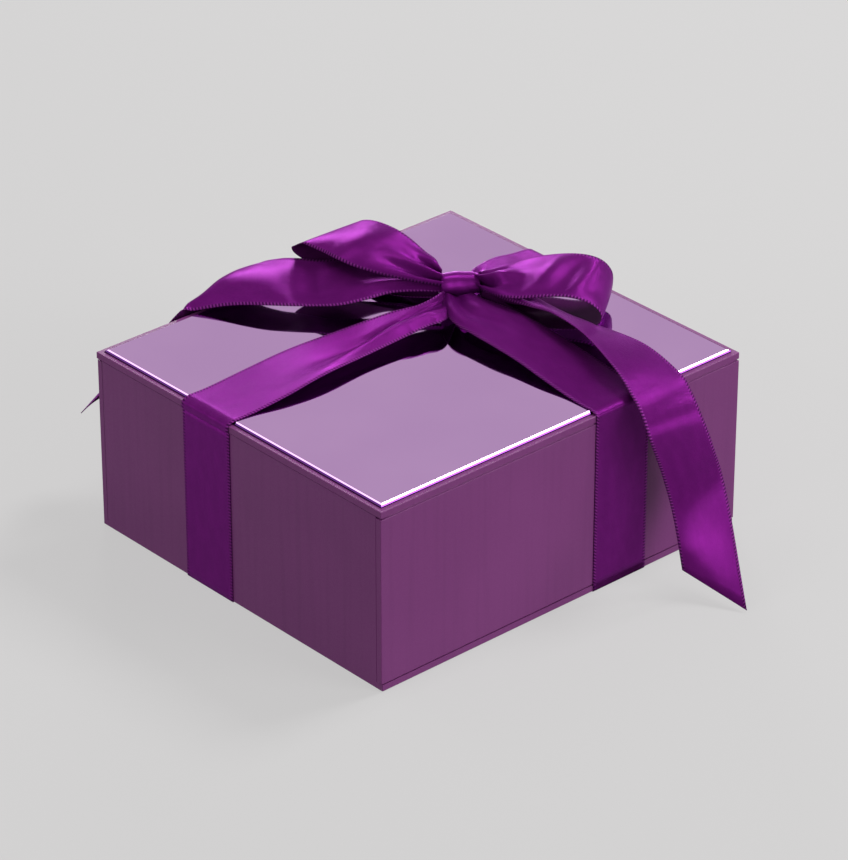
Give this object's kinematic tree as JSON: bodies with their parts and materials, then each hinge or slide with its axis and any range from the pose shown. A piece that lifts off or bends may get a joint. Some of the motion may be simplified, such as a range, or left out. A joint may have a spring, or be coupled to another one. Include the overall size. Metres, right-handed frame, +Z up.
{
  "type": "chocolate box",
  "caption": "Square book-style rigid chocolate box with a hinged mirror-topped lid, a magnetic front flap, a divided tray inside and a satin ribbon tied in a bow on top.",
  "frame": {"origin": "centre of the box's footprint, on the surface it rests on", "axes": "+Z up; -Y towards the magnetic front flap; +Y towards the spine that the lid hinges on; +X to the right seen from the front"},
  "size_m": [0.1698, 0.2136, 0.0972],
  "materials": {
    "greyboard": "raw",
    "plum_paper": "satin",
    "lining_paper": "satin",
    "pad_paper": "satin",
    "insert_card": "satin",
    "mirror_plate": "polished",
    "magnet_nickel": "plated",
    "steel_disc": "satin",
    "satin_ribbon": "satin"
  },
  "bodies": {
    "box": {"base_board": "greyboard", "case_cover": "plum_paper", "spine_board": "greyboard", "tray_board": "greyboard", "tray_wrap": "plum_paper", "tray_liner": "lining_paper", "keeper_discs": "steel_disc", "layer_card": "insert_card", "ribbon_under": "satin_ribbon", "ribbon_left": "satin_ribbon", "ribbon_right": "satin_ribbon", "ribbon_back": "satin_ribbon", "left_tail_hanging": "satin_ribbon", "lower_long_divider_1": "insert_card", "lower_long_divider_2": "insert_card", "lower_long_divider_3": "insert_card", "lower_cross_divider_1": "insert_card", "lower_cross_divider_2": "insert_card", "lower_cross_divider_3": "insert_card", "upper_long_divider_1": "insert_card", "upper_long_divider_2": "insert_card", "upper_long_divider_3": "insert_card", "upper_cross_divider_1": "insert_card", "upper_cross_divider_2": "insert_card", "upper_cross_divider_3": "insert_card"},
    "lid": {"lid_board": "greyboard", "lid_cover": "plum_paper", "lid_liner": "lining_paper", "lid_pad": "pad_paper", "mirror_plate": "mirror_plate", "ribbon_arm_left": "satin_ribbon", "ribbon_arm_right": "satin_ribbon", "ribbon_arm_front": "satin_ribbon", "ribbon_arm_back": "satin_ribbon", "knot": "satin_ribbon", "loop_left": "satin_ribbon", "loop_right": "satin_ribbon", "left_tail_over_lid": "satin_ribbon", "right_tail_over_lid": "satin_ribbon"},
    "flap": {"flap_board": "greyboard", "flap_cover": "plum_paper", "flap_liner": "lining_paper", "flap_magnets": "magnet_nickel", "ribbon_front": "satin_ribbon", "right_tail_hanging": "satin_ribbon"}
  },
  "joints": [
    {"name": "lid_hinge", "type": "hinge", "parent": "box", "child": "lid", "pos_m": [0, 0.076, 0.068], "axis": [-1, 0, 0], "range_deg": [0, 100]},
    {"name": "flap_hinge", "type": "hinge", "parent": "lid", "child": "flap", "pos_m": [0, -0.076, 0.068], "axis": [-1, 0, 0], "range_deg": [0, 90]}
  ]
}
